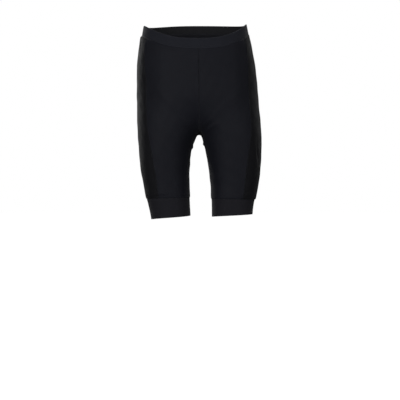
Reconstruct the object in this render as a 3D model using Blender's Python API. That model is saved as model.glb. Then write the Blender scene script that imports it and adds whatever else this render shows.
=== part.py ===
"""Cycling shorts as worn: a close fitting hollow garment in stretch knit.

The wearer faces -Y and stands along +Z, with +X to the wearer's left. The origin is the middle of the waist,
level with the waist edge at the side seams. Left and right are the wearer's. Lengths are in metres.

The cloth follows one smooth form, a trunk and two thighs run together, whose sections are in short tables.
Each half of the garment is a stack of rings on that form. A ring runs from the centre front round the hip to
the centre back or, below the fork, from the inner leg seam all round the thigh. A piece is a patch of rings.
"""

import math
from collections import namedtuple

import bmesh
import bpy
import numpy as np

# Cloth and seams
KNIT_WALL = 0.0012
WAISTBAND_WALL = 0.0024
LEG_BAND_WALL = 0.0020
SEAM_GAP = 0.0003
WAISTBAND_HEIGHT = 0.028

# Outline of the outer thigh and hip as seen from the front
Sides = namedtuple("Sides", "height right left")
SIDES = (
    Sides(0.020, -0.1420, 0.1325),
    Sides(0.000, -0.1478, 0.1378),
    Sides(-0.030, -0.1532, 0.1440),
    Sides(-0.060, -0.1598, 0.1513),
    Sides(-0.100, -0.1664, 0.1600),
    Sides(-0.150, -0.1677, 0.1665),
    Sides(-0.210, -0.1682, 0.1722),
    Sides(-0.260, -0.1680, 0.1773),
    Sides(-0.310, -0.1658, 0.1807),
    Sides(-0.360, -0.1618, 0.1803),
    Sides(-0.410, -0.1565, 0.1768),
    Sides(-0.450, -0.1480, 0.1705),
    Sides(-0.485, -0.1402, 0.1615),
    Sides(-0.515, -0.1328, 0.1563),
    Sides(-0.545, -0.1272, 0.1548),
)

# The trunk's middle: its front and back as seen from the side, and the middle line from the front
Trunk = namedtuple("Trunk", "height centre front back")
TRUNK = (
    Trunk(0.020, 0.0020, -0.100, 0.100),
    Trunk(0.000, 0.0028, -0.102, 0.098),
    Trunk(-0.050, 0.0034, -0.107, 0.096),
    Trunk(-0.100, 0.0040, -0.110, 0.102),
    Trunk(-0.150, 0.0047, -0.110, 0.113),
    Trunk(-0.200, 0.0053, -0.106, 0.123),
    Trunk(-0.250, 0.0058, -0.101, 0.128),
    Trunk(-0.304, 0.0062, -0.098, 0.126),
)
TRUNK_BOTTOM = -0.2985
TRUNK_ROUNDS_UNDER_FROM = -0.190

# Each thigh: its inner side from the front, and its front and back from the side
Thigh = namedtuple("Thigh", "height right_inner left_inner front back")
THIGHS = (
    Thigh(0.000, 0.110, -0.100, -0.060, 0.050),
    Thigh(-0.100, 0.100, -0.090, -0.080, 0.080),
    Thigh(-0.150, 0.082, -0.072, -0.090, 0.104),
    Thigh(-0.200, 0.060, -0.050, -0.0965, 0.123),
    Thigh(-0.250, 0.034, -0.022, -0.0995, 0.131),
    Thigh(-0.285, 0.014, -0.001, -0.1000, 0.127),
    Thigh(-0.304, 0.0018, 0.0104, -0.0990, 0.121),
    Thigh(-0.320, -0.0055, 0.0162, -0.0978, 0.114),
    Thigh(-0.340, -0.0135, 0.0218, -0.0962, 0.106),
    Thigh(-0.370, -0.0190, 0.0282, -0.0935, 0.095),
    Thigh(-0.410, -0.0215, 0.0342, -0.0893, 0.084),
    Thigh(-0.450, -0.0214, 0.0390, -0.0850, 0.075),
    Thigh(-0.485, -0.0205, 0.0408, -0.0812, 0.069),
    Thigh(-0.545, -0.0170, 0.0416, -0.0755, 0.062),
)

# Where the sections are widest, from the side
Middle = namedtuple("Middle", "height depth")
MIDDLE = (
    Middle(0.020, 0.000),
    Middle(-0.100, 0.004),
    Middle(-0.190, 0.008),
    Middle(-0.304, 0.008),
    Middle(-0.400, -0.001),
    Middle(-0.545, -0.007),
)
SQUARENESS = 2.25
FORK_BLEND = 0.015
GROIN_BLEND = 0.040
OUTER_BLEND = 0.004

# Where the cross seams of each half lie: at the centre front, side and centre back. On the leg, front and
# back are both the inner leg. The fork's own height comes from the form.
Level = namedtuple("Level", "name front side back")
WAIST_DIP = -0.0520
WAIST_BACK_RISE = 0.014
FORK_SIDE_HEIGHT = -0.312
LEVELS = {
    "right": (
        Level("waist edge", WAIST_DIP, -0.0024, WAIST_BACK_RISE),
        Level("waist seam", WAIST_DIP - WAISTBAND_HEIGHT, -0.0304, WAIST_BACK_RISE - WAISTBAND_HEIGHT),
        Level("fork", None, FORK_SIDE_HEIGHT, None),
        Level("leg seam", -0.482, -0.486, -0.482),
        Level("hem", -0.5325, -0.5430, -0.5325),
    ),
    "left": (
        Level("waist edge", WAIST_DIP, 0.0024, WAIST_BACK_RISE),
        Level("waist seam", WAIST_DIP - WAISTBAND_HEIGHT, -0.0256, WAIST_BACK_RISE - WAISTBAND_HEIGHT),
        Level("fork", None, FORK_SIDE_HEIGHT, None),
        Level("leg seam", -0.486, -0.488, -0.486),
        Level("hem", -0.5355, -0.5285, -0.5355),
    ),
}
WAIST_EDGE, WAIST_SEAM, FORK, LEG_SEAM, HEM = range(5)

# The side panel's width either side of the outermost line, from the waist seam (level 1) to the leg seam (3)
SIDE_PANEL_LEVELS = (1.0, 1.2, 1.4, 1.7, 2.0, 2.3, 2.6, 3.0)
SIDE_PANEL_FRONTS = (0.062, 0.071, 0.083, 0.093, 0.099, 0.102, 0.098, 0.085)
SIDE_PANEL_BACKS = (0.060, 0.070, 0.082, 0.092, 0.097, 0.097, 0.092, 0.079)

# The knit swells next to a band that grips: how far at the side and in the middle
Swell = namedtuple("Swell", "at_side at_middle reach")
WAIST_SWELL = {"right": Swell(0.0040, 0.0008, 0.030), "left": Swell(0.0016, 0.0008, 0.030)}
LEG_SWELL = {"right": Swell(0.0022, 0.0010, 0.030), "left": Swell(0.0032, 0.0012, 0.030)}
SWELL_RISES_IN = 0.0025

# Soft ridges, and troughs with a negative rise: middle, direction, half length, half width and rise
Fold = namedtuple("Fold", "middle direction half_length half_width rise")
FOLDS = (
    Fold((-0.014, -0.004, -0.342), (0.1, 1.0, 0.10), 0.030, 0.0050, 0.0030),
    Fold((0.019, -0.002, -0.333), (-0.1, 1.0, 0.08), 0.026, 0.0045, 0.0034),
    Fold((-0.012, 0.030, -0.356), (0.2, 1.0, 0.25), 0.030, 0.0060, 0.0014),
    Fold((0.024, 0.034, -0.352), (-0.2, 1.0, 0.30), 0.028, 0.0060, 0.0016),
    Fold((-0.076, 0.122, -0.318), (1.0, 0.2, -0.10), 0.036, 0.0085, -0.0020),
    Fold((0.082, 0.120, -0.322), (1.0, -0.2, 0.14), 0.032, 0.0080, -0.0018),
    Fold((-0.060, 0.104, -0.338), (1.0, 0.2, -0.25), 0.026, 0.0070, 0.0012),
    Fold((0.070, 0.104, -0.344), (1.0, -0.2, 0.20), 0.030, 0.0075, 0.0014),
)

# Spacing of the rings down each stretch, from its upper seam to its lower one
TRUNK_RINGS = (0.0, 0.003, 0.009, 0.020, 0.036, 0.054, 0.072, 0.090, 0.108, 0.126,
               0.144, 0.162, 0.180, 0.198, 0.215, 0.231, 0.246, 0.259, 0.270)
THIGH_RINGS = (0.0, 0.006, 0.013, 0.020, 0.026, 0.032, 0.038, 0.044, 0.051, 0.062,
               0.078, 0.096, 0.114, 0.132, 0.150, 0.166, 0.177, 0.183, 0.186)
WAISTBAND_RINGS = (0.0, 0.014, 0.028)
LEG_BAND_RINGS = (0.0, 0.35, 0.7, 1.0)
BAND_COLUMNS = 28
RING_POINTS = 241
RELAXES_WITHIN = 0.45
RELAXING_STEPS = 40
BISECTIONS = 26

# Each panel lies between two upright seams; the numbers are its columns
BODY_PANELS = (
    ("front_panel", "front", "front_side", 8),
    ("side_panel", "front_side", "back_side", 8),
    ("back_panel", "back_side", "back", 9),
)

BLACK_KNIT = (0.0115, 0.0118, 0.0140, 1.0)
BLACK_BAND = (0.0130, 0.0133, 0.0158, 1.0)

HALVES = {"right": -1.0, "left": 1.0}


class SmoothColumn:
    """A natural cubic curve through one column of a table, against its height."""

    def __init__(self, table, key, name):
        rows = sorted((getattr(row, key), getattr(row, name)) for row in table)
        self.at = np.array([row[0] for row in rows])
        self.value = np.array([row[1] for row in rows])
        count = len(rows)
        step = np.diff(self.at)
        slope = np.diff(self.value) / step
        matrix = np.eye(count)
        right_side = np.zeros(count)
        for i in range(1, count - 1):
            matrix[i, i - 1:i + 2] = step[i - 1], 2 * (step[i - 1] + step[i]), step[i]
            right_side[i] = 6 * (slope[i] - slope[i - 1])
        self.bend = np.linalg.solve(matrix, right_side)

    def __call__(self, at):
        at = np.clip(at, self.at[0], self.at[-1])
        i = np.clip(np.searchsorted(self.at, at) - 1, 0, len(self.at) - 2)
        step = self.at[i + 1] - self.at[i]
        a = (self.at[i + 1] - at) / step
        b = 1 - a
        curve = (a ** 3 - a) * self.bend[i] + (b ** 3 - b) * self.bend[i + 1]
        return a * self.value[i] + b * self.value[i + 1] + curve * step ** 2 / 6


side_at = {half: SmoothColumn(SIDES, "height", half) for half in HALVES}
inner_at = {half: SmoothColumn(THIGHS, "height", half + "_inner") for half in HALVES}
centre_at = SmoothColumn(TRUNK, "height", "centre")
trunk_front_at = SmoothColumn(TRUNK, "height", "front")
trunk_back_at = SmoothColumn(TRUNK, "height", "back")
thigh_front_at = SmoothColumn(THIGHS, "height", "front")
thigh_back_at = SmoothColumn(THIGHS, "height", "back")
middle_at = SmoothColumn(MIDDLE, "height", "depth")


def smooth_step(value, low, high):
    t = np.clip((value - low) / (high - low), 0.0, 1.0)
    return t * t * (3 - 2 * t)


def smooth_union(a, b, radius):
    """The nearer of two forms, with the crease between them rounded."""
    near = np.clip(radius - np.abs(a - b), 0.0, None) / radius
    return np.minimum(a, b) - near * near * radius / 4


def outside_by(reach, ratio):
    """How far a point at that reach lies outside a form that it exceeds by that ratio."""
    return reach * (1 - 1 / np.maximum(ratio, 1e-6))


def form(points):
    """Distance outside the worn form, negative inside, near enough to true close to the surface."""
    x, y, z = points[..., 0], points[..., 1], points[..., 2]
    across = x - centre_at(z)
    along = y - middle_at(z)

    half_width = np.where(across < 0, centre_at(z) - side_at["right"](z), side_at["left"](z) - centre_at(z))
    half_depth = np.where(along < 0, middle_at(z) - trunk_front_at(z), trunk_back_at(z) - middle_at(z))
    under = np.clip(TRUNK_ROUNDS_UNDER_FROM - z, 0.0, None)
    full_drop = TRUNK_ROUNDS_UNDER_FROM - TRUNK_BOTTOM
    ratio = (np.abs(across / half_width) ** SQUARENESS + np.abs(along / half_depth) ** SQUARENESS
             + (under / full_drop) ** SQUARENESS) ** (1 / SQUARENESS)
    trunk = outside_by(np.sqrt(across ** 2 + along ** 2 + under ** 2), ratio)

    thighs = []
    for half in HALVES:
        outer, inner = side_at[half](z), inner_at[half](z)
        from_axis = x - (outer + inner) / 2
        half_depth = np.where(along < 0, middle_at(z) - thigh_front_at(z), thigh_back_at(z) - middle_at(z))
        ratio = (np.abs(from_axis / ((outer - inner) / 2)) ** SQUARENESS
                 + np.abs(along / half_depth) ** SQUARENESS) ** (1 / SQUARENESS)
        thighs.append(outside_by(np.hypot(from_axis, along), ratio))
    both_thighs = smooth_union(thighs[0], thighs[1], FORK_BLEND)

    away_from_fork = smooth_step(np.abs(along), 0.015, 0.070)
    radius = FORK_BLEND + (GROIN_BLEND - FORK_BLEND) * away_from_fork
    at_side = smooth_step(np.abs(across), 0.095, 0.150)
    return smooth_union(both_thighs, trunk, radius + (OUTER_BLEND - radius) * at_side)


def crossings(starts, rays, reach):
    """Where rays from inside the form leave it, or their ends where they don't."""
    low = np.zeros(starts.shape[:-1])
    high = np.broadcast_to(reach, low.shape).astype(float)
    for _ in range(BISECTIONS):
        middle = (low + high) / 2
        inside = form(starts + rays * middle[..., None]) < 0
        low = np.where(inside, middle, low)
        high = np.where(inside, high, middle)
    return starts + rays * high[..., None]


def slope_at(points):
    step = 0.0004
    rises = [form(points + step * axis) - form(points - step * axis) for axis in np.eye(3)]
    return np.stack(rises, axis=-1) / (2 * step)


def settled(points):
    """The nearest points on the form, and its outward unit normals there."""
    slope = slope_at(points)
    points = points - slope * (form(points) / np.sum(slope ** 2, axis=-1))[..., None]
    normals = slope_at(points)
    return points, normals / np.linalg.norm(normals, axis=-1, keepdims=True)


def lengths_along(points):
    """Length from the first point to each point of a line, or of each line in a stack."""
    steps = np.linalg.norm(np.diff(points, axis=-2), axis=-1)
    return np.concatenate([0 * steps[..., :1], np.cumsum(steps, axis=-1)], axis=-1)


def at_length(line, length):
    along = lengths_along(line)
    return np.stack([np.interp(length, along, line[:, i]) for i in range(3)], axis=-1)


def at_height(line, height):
    """How far along a line it comes down to a height."""
    return np.interp(-height, -line[:, 2], lengths_along(line))


def middle_seam(towards):
    """The centre front seam (towards -1) or back seam (towards 1), from above the waist to the fork."""
    heights = np.linspace(SIDES[0].height, TRUNK_ROUNDS_UNDER_FROM, 80)
    starts = np.stack([centre_at(heights), middle_at(heights), heights], axis=1)
    upper = crossings(starts, np.tile([0.0, towards, 0.0], (len(heights), 1)), 0.2)

    angles = np.linspace(0, math.pi / 2, 120)[1:]
    low, high = np.zeros(len(angles)), np.full(len(angles), 0.2)
    for _ in range(BISECTIONS):
        reach = (low + high) / 2
        under = np.zeros((len(angles), 3))
        under[:, 2] = TRUNK_ROUNDS_UNDER_FROM - reach * np.sin(angles)
        under[:, 1] = middle_at(TRUNK_ROUNDS_UNDER_FROM) + towards * reach * np.cos(angles)
        under[:, 0] = centre_at(under[:, 2])
        inside = form(under) < 0
        low, high = np.where(inside, reach, low), np.where(inside, high, reach)
    return np.concatenate([upper, under])


def axis_at(half, heights):
    """The middle of one half's sections, from which its rings are drawn."""
    sign = HALVES[half]
    gap = sign * (inner_at[half](heights) - centre_at(heights))
    open_gap = (gap + np.hypot(gap, 0.010)) / 2
    x = (side_at[half](heights) + centre_at(heights) + sign * open_gap) / 2
    return np.stack([x, middle_at(heights), heights], axis=-1)


def inner_leg_seam(half, fork):
    """From the fork down the inside of one leg."""
    lowest = min(level.front for level in LEVELS[half][LEG_SEAM:]) - 0.010
    heights = fork[2] - np.linspace(0, 1, 160) ** 2 * (fork[2] - lowest)
    starts = axis_at(half, heights)
    rays = np.tile([-HALVES[half], 0.0, 0.0], (len(heights), 1))
    points = crossings(starts, rays, HALVES[half] * (starts[:, 0] - centre_at(heights)))
    points[0] = fork
    return points


class Half:
    """One half of the garment. A level is a number from 0 at the waist edge to 4 at the hem, as in LEVELS."""

    def __init__(self, half):
        self.name = half
        self.sign = HALVES[half]
        self.side_heights = [level.side for level in LEVELS[half]]
        self.front_seam = middle_seam(-1.0)
        self.back_seam = middle_seam(1.0)
        self.inner_seam = inner_leg_seam(half, self.front_seam[-1])

    def seam_points(self, seam, name, levels):
        """Points of a middle seam at levels from the waist edge to the fork."""
        waist = [at_height(seam, getattr(LEVELS[self.name][i], name)) for i in (WAIST_EDGE, WAIST_SEAM)]
        lengths = waist + [lengths_along(seam)[-1]]
        return at_length(seam, np.interp(levels, (WAIST_EDGE, WAIST_SEAM, FORK), lengths))

    def ends(self, levels):
        """Where each ring starts and ends."""
        first = self.seam_points(self.front_seam, "front", levels)
        last = self.seam_points(self.back_seam, "back", levels)
        inner = [0.0] + [at_height(self.inner_seam, level.front) for level in LEVELS[self.name][LEG_SEAM:]]
        below = at_length(self.inner_seam, np.interp(levels, (FORK, LEG_SEAM, HEM), inner))
        on_leg = levels[:, None] >= FORK
        return np.where(on_leg, below, first), np.where(on_leg, below, last)

    def rings(self, levels):
        """A fine ring of points for each level, from its front end round the outside to its back end."""
        turns = np.linspace(0, 1, RING_POINTS)
        first, last = self.ends(levels)
        side = self.side_height(levels)[:, None]
        end_height = np.where(turns < 0.5, first[:, 2:], last[:, 2:])
        bow = 2 - 0.9 * np.exp(-((levels[:, None] - FORK) / 0.25) ** 2)
        heights = end_height + (side - end_height) * np.sin(math.pi * turns) ** bow
        starts = axis_at(self.name, heights)
        end_angles = []
        for end, sense in ((first, -1.0), (last, 1.0)):
            offset = end - axis_at(self.name, end[:, 2])
            angle = sense * np.arctan2(np.abs(offset[:, 1]), self.sign * offset[:, 0])
            end_angles.append(np.where(levels >= FORK, sense * math.pi, angle)[:, None])
        angles = end_angles[0] + (end_angles[1] - end_angles[0]) * turns
        rays = np.stack([self.sign * np.cos(angles), np.sin(angles), 0 * angles], axis=-1)
        to_centre = np.abs(starts[..., 0] - centre_at(heights)) / np.maximum(-self.sign * rays[..., 0], 1e-6)
        points = crossings(starts, rays, np.minimum(to_centre, 0.25))
        side_lengths = [np.interp(0.0, *pair) for pair in zip(angles, lengths_along(points))]
        return points, np.array(side_lengths)

    def side_height(self, levels):
        return np.interp(levels, range(len(self.side_heights)), self.side_heights)

    def patch(self, levels, start, end, columns, gaps_at):
        """Outer points and normals of the cloth between two upright seams, a row for each level."""
        rings, side_lengths = self.rings(levels)
        along = lengths_along(rings)
        seams = {"front": 0 * side_lengths, "back": along[:, -1]}
        seams["front_side"] = side_lengths - np.interp(levels, SIDE_PANEL_LEVELS, SIDE_PANEL_FRONTS)
        seams["back_side"] = side_lengths + np.interp(levels, SIDE_PANEL_LEVELS, SIDE_PANEL_BACKS)
        shares = np.linspace(0, 1, columns + 1)
        wanted = seams[start][:, None] * (1 - shares) + seams[end][:, None] * shares
        grid = np.array([at_length(ring, lengths) for ring, lengths in zip(rings, wanted)])
        grid, normals = settled(inset(relaxed(grid, levels), gaps_at))
        from_side = np.abs(wanted - side_lengths[:, None]) / (along[:, -1:] / 2)
        lift = self.swell(levels, np.cos(from_side * math.pi / 2) ** 2) + fold_heights(grid)
        return grid + normals * lift[..., None], normals

    def swell(self, levels, at_side):
        """How far the knit stands out next to the gripping bands."""
        total = 0 * at_side
        heights = self.side_height(levels)
        for table, seam in ((WAIST_SWELL, WAIST_SEAM), (LEG_SWELL, LEG_SEAM)):
            swell = table[self.name]
            distance = np.abs(heights - self.side_heights[seam])
            shape = (1 - np.exp(-distance / SWELL_RISES_IN)) * np.exp(-(distance / swell.reach) ** 2)
            total += shape[:, None] * (swell.at_middle + (swell.at_side - swell.at_middle) * at_side)
        on_knit = (levels > WAIST_SEAM) & (levels < LEG_SEAM)
        return total * on_knit[:, None]


def levels_in(stretch, spacing):
    return stretch + np.array(spacing) / spacing[-1]


def relaxed(grid, levels):
    """The grid with its points near the fork spread evenly over the form, and its edges kept."""
    above, below = np.diff(levels)[:-1], np.diff(levels)[1:]
    share = (below / (above + below))[:, None, None]
    near_fork = np.exp(-((levels[1:-1] - FORK) / RELAXES_WITHIN) ** 2)[:, None, None]
    for _ in range(RELAXING_STEPS):
        upright = grid[:-2, 1:-1] * share + grid[2:, 1:-1] * (1 - share)
        around = (grid[1:-1, :-2] + grid[1:-1, 2:]) / 2
        grid[1:-1, 1:-1] += near_fork * ((upright + around) / 2 - grid[1:-1, 1:-1])
        grid = settled(grid)[0]
    return grid


def inset(grid, edges):
    """The grid with the edges named moved in by half the seam gap, square to each edge."""
    places = {"first": np.s_[:, 0], "last": np.s_[:, -1], "upper": np.s_[0], "lower": np.s_[-1]}
    inner_places = {"first": np.s_[:, 1], "last": np.s_[:, -2], "upper": np.s_[1], "lower": np.s_[-2]}
    moved = grid.copy()
    for edge in edges:
        line = grid[places[edge]]
        steps = np.diff(line, axis=0)
        steps /= np.linalg.norm(steps, axis=1, keepdims=True)
        tangents = (np.vstack([steps[:1], steps]) + np.vstack([steps, steps[-1:]])) / 2
        straightness = np.linalg.norm(tangents, axis=1, keepdims=True)
        tangents /= straightness
        inward = grid[inner_places[edge]] - line
        inward -= np.sum(inward * tangents, axis=1, keepdims=True) * tangents
        inward /= np.linalg.norm(inward, axis=1, keepdims=True)
        moved[places[edge]] += inward * (SEAM_GAP / 2) / straightness
    return moved


def fold_heights(points):
    """How far the folds lift each point."""
    total = np.zeros(points.shape[:-1])
    for fold in FOLDS:
        direction = np.array(fold.direction) / np.linalg.norm(fold.direction)
        offset = points - np.array(fold.middle)
        along = offset @ direction
        aside = np.linalg.norm(offset - along[..., None] * direction, axis=-1)
        total += fold.rise * np.exp(-(along / fold.half_length) ** 2 - (aside / fold.half_width) ** 2)
    return total


def wall(name, grid, normals, thickness, closed_round, material):
    """A closed wall between a grid of outer points and the same points moved in by the thickness."""
    rows, columns = grid.shape[:2]
    mesh = bmesh.new()
    skins = []
    for depth in (0.0, thickness):
        points = grid - normals * depth
        skins.append([[mesh.verts.new(point) for point in row] for row in points])
    outer, inner = skins
    around = range(columns if closed_round else columns - 1)
    for i in range(rows - 1):
        for j in around:
            k = (j + 1) % columns
            mesh.faces.new((outer[i][j], outer[i + 1][j], outer[i + 1][k], outer[i][k]))
            mesh.faces.new((inner[i][j], inner[i][k], inner[i + 1][k], inner[i + 1][j]))
    for i in (0, rows - 1):
        for j in around:
            k = (j + 1) % columns
            mesh.faces.new((outer[i][j], outer[i][k], inner[i][k], inner[i][j]))
    if not closed_round:
        for j in (0, columns - 1):
            for i in range(rows - 1):
                mesh.faces.new((outer[i][j], outer[i + 1][j], inner[i + 1][j], inner[i][j]))
    bmesh.ops.recalc_face_normals(mesh, faces=mesh.faces)
    if mesh.calc_volume(signed=True) < 0:
        bmesh.ops.reverse_faces(mesh, faces=mesh.faces)
    data = bpy.data.meshes.new(name)
    mesh.to_mesh(data)
    mesh.free()
    data.materials.append(material)
    data.shade_smooth()
    data.set_sharp_from_angle(angle=math.radians(50))
    piece = bpy.data.objects.new(name, data)
    bpy.context.scene.collection.objects.link(piece)
    return piece


def cloth_material(name, colour, roughness):
    material = bpy.data.materials.new(name)
    material.use_nodes = True
    shader = material.node_tree.nodes["Principled BSDF"]
    shader.inputs["Base Color"].default_value = colour
    shader.inputs["Roughness"].default_value = roughness
    shader.inputs["Metallic"].default_value = 0.0
    shader.inputs["Sheen Weight"].default_value = 0.15
    return material


def body_panels(half, material):
    """The front, side and back panels of one half, from the waist seam to the leg seam."""
    levels = np.concatenate([levels_in(WAIST_SEAM, TRUNK_RINGS)[:-1], levels_in(FORK, THIGH_RINGS)])
    for name, start, end, columns in BODY_PANELS:
        grid, normals = half.patch(levels, start, end, columns, ("first", "last", "upper", "lower"))
        wall(f"{name}_{half.name}", grid, normals, KNIT_WALL, False, material)


def waistband(halves, material):
    """One closed ring of covered elastic above the waist seam."""
    patches = []
    for half in halves:
        levels = levels_in(WAIST_EDGE, WAISTBAND_RINGS)
        patches.append(half.patch(levels, "front", "back", BAND_COLUMNS, ("lower",)))
    left, right = patches
    grid, normals = [np.concatenate([a, b[:, -2:0:-1]], axis=1) for a, b in zip(left, right)]
    wall("waistband", grid, normals, WAISTBAND_WALL, True, material)


def leg_band(half, material):
    """One closed ring of doubled knit below the leg seam."""
    levels = levels_in(LEG_SEAM, LEG_BAND_RINGS)
    grid, normals = half.patch(levels, "front", "back", BAND_COLUMNS, ("upper",))
    wall(f"leg_band_{half.name}", grid[:, :-1], normals[:, :-1], LEG_BAND_WALL, True, material)


def main():
    for thing in list(bpy.data.objects):
        bpy.data.objects.remove(thing)
    knit = cloth_material("black_knit", BLACK_KNIT, 0.55)
    band = cloth_material("black_band", BLACK_BAND, 0.70)
    halves = [Half("left"), Half("right")]
    waistband(halves, band)
    for half in halves:
        body_panels(half, knit)
        leg_band(half, band)


main()
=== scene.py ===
"""Cycling shorts as worn: black stretch knit, flat seams, an elastic waistband and folded leg bands.

The wearer faces -Y and stands along +Z, with +X to the wearer's left. Left and right are the wearer's.
Lengths are in metres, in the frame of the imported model.
"""

import math
from collections import namedtuple

import bpy
import numpy as np
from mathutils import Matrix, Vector
from mathutils.bvhtree import BVHTree


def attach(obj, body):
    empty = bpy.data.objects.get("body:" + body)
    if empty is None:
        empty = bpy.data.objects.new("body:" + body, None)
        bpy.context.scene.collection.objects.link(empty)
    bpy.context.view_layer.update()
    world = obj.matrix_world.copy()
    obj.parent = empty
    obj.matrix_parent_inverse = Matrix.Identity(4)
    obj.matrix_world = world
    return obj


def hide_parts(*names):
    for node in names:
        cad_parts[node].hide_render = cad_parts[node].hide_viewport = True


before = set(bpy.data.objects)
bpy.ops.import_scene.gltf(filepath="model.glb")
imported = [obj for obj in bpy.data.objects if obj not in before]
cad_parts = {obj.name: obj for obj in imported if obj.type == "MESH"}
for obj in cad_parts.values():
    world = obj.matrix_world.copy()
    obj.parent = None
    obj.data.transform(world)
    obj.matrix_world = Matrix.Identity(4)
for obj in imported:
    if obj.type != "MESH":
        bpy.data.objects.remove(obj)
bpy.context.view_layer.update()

# Front panels
# Two pieces of black stretch knit, cut to shape and sewn flat to their neighbours. They run from
# the waistband over the belly and the front of each thigh to the leg band, stretched smooth.


def named_rows(fields, *rows):
    """Rows of values with named fields."""
    row = namedtuple("Row", fields)
    return [row(*values) for values in rows]


# The form that the cloth takes. First the outline of the outer thigh and hip as seen from the front
SIDES = named_rows(
    "height right left",
    (0.020, -0.1420, 0.1325),
    (0.000, -0.1478, 0.1378),
    (-0.030, -0.1532, 0.1440),
    (-0.060, -0.1598, 0.1513),
    (-0.100, -0.1664, 0.1600),
    (-0.150, -0.1677, 0.1665),
    (-0.210, -0.1682, 0.1722),
    (-0.260, -0.1680, 0.1773),
    (-0.310, -0.1658, 0.1807),
    (-0.360, -0.1618, 0.1803),
    (-0.410, -0.1565, 0.1768),
    (-0.450, -0.1480, 0.1705),
    (-0.485, -0.1402, 0.1615),
    (-0.515, -0.1328, 0.1563),
    (-0.545, -0.1272, 0.1548),
)

# The trunk's middle: its front and back as seen from the side, and the middle line from the front
TRUNK = named_rows(
    "height centre front back",
    (0.020, 0.0020, -0.100, 0.100),
    (0.000, 0.0028, -0.102, 0.098),
    (-0.050, 0.0034, -0.107, 0.096),
    (-0.100, 0.0040, -0.110, 0.102),
    (-0.150, 0.0047, -0.110, 0.113),
    (-0.200, 0.0053, -0.106, 0.123),
    (-0.250, 0.0058, -0.101, 0.128),
    (-0.304, 0.0062, -0.098, 0.126),
)
TRUNK_BOTTOM = -0.2985
TRUNK_ROUNDS_UNDER_FROM = -0.190

# Each thigh: its inner side from the front, and its front and back from the side
THIGHS = named_rows(
    "height right_inner left_inner front back",
    (0.000, 0.110, -0.100, -0.060, 0.050),
    (-0.100, 0.100, -0.090, -0.080, 0.080),
    (-0.150, 0.082, -0.072, -0.090, 0.104),
    (-0.200, 0.060, -0.050, -0.0965, 0.123),
    (-0.250, 0.034, -0.022, -0.0995, 0.131),
    (-0.285, 0.014, -0.001, -0.1000, 0.127),
    (-0.304, 0.0018, 0.0104, -0.0990, 0.121),
    (-0.320, -0.0055, 0.0162, -0.0978, 0.114),
    (-0.340, -0.0135, 0.0218, -0.0962, 0.106),
    (-0.370, -0.0190, 0.0282, -0.0935, 0.095),
    (-0.410, -0.0215, 0.0342, -0.0893, 0.084),
    (-0.450, -0.0214, 0.0390, -0.0850, 0.075),
    (-0.485, -0.0205, 0.0408, -0.0812, 0.069),
    (-0.545, -0.0170, 0.0416, -0.0755, 0.062),
)

# Where the sections are widest, from the side
MIDDLE = named_rows(
    "height depth",
    (0.020, 0.000),
    (-0.100, 0.004),
    (-0.190, 0.008),
    (-0.304, 0.008),
    (-0.400, -0.001),
    (-0.545, -0.007),
)
SQUARENESS = 2.25
AXIS_ROUNDING = 0.010

# How far the trunk and the thighs blend at the fork, the groin and the outer hip. The fork's blend
# turns into the groin's, and then into the hip's, between these distances from the middle.
FORK_BLEND = 0.015
GROIN_BLEND = 0.040
OUTER_BLEND = 0.004
FORK_TO_GROIN = (0.015, 0.070)
GROIN_TO_HIP = (0.095, 0.150)

# Where the cross seams of each half lie: at the centre front, side and centre back. On the leg,
# front and back are both the inner leg. The fork's own height comes from the form.
WAIST_EDGE, WAIST_SEAM, FORK, LEG_SEAM, HEM = range(5)
WAISTBAND_HEIGHT = 0.028
WAIST_DIP = -0.0520
WAIST_BACK_RISE = 0.014
FORK_SIDE_HEIGHT = -0.312
LEVELS = {
    "right": named_rows(
        "front side back",
        (WAIST_DIP, -0.0024, WAIST_BACK_RISE),
        (WAIST_DIP - WAISTBAND_HEIGHT, -0.0304, WAIST_BACK_RISE - WAISTBAND_HEIGHT),
        (None, FORK_SIDE_HEIGHT, None),
        (-0.482, -0.486, -0.482),
        (-0.5325, -0.5430, -0.5325),
    ),
    "left": named_rows(
        "front side back",
        (WAIST_DIP, 0.0024, WAIST_BACK_RISE),
        (WAIST_DIP - WAISTBAND_HEIGHT, -0.0256, WAIST_BACK_RISE - WAISTBAND_HEIGHT),
        (None, FORK_SIDE_HEIGHT, None),
        (-0.486, -0.488, -0.486),
        (-0.5355, -0.5285, -0.5355),
    ),
}
HALVES = {"right": -1.0, "left": 1.0}

# The side panel's width either side of the outermost line, from waist seam (1) to leg seam (3)
SIDE_PANEL_LEVELS = (1.0, 1.2, 1.4, 1.7, 2.0, 2.3, 2.6, 3.0)
SIDE_PANEL_FRONTS = (0.062, 0.071, 0.083, 0.093, 0.099, 0.102, 0.098, 0.085)
SIDE_PANEL_BACKS = (0.060, 0.070, 0.082, 0.092, 0.097, 0.097, 0.092, 0.079)

# The knit swells next to a band that grips: how far at the side and in the middle
Swell = namedtuple("Swell", "at_side at_middle reach")
WAIST_SWELL = {"right": Swell(0.0040, 0.0008, 0.030), "left": Swell(0.0016, 0.0008, 0.030)}
LEG_SWELL = {"right": Swell(0.0022, 0.0010, 0.030), "left": Swell(0.0032, 0.0012, 0.030)}
SWELL_RISES_IN = 0.0025

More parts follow.
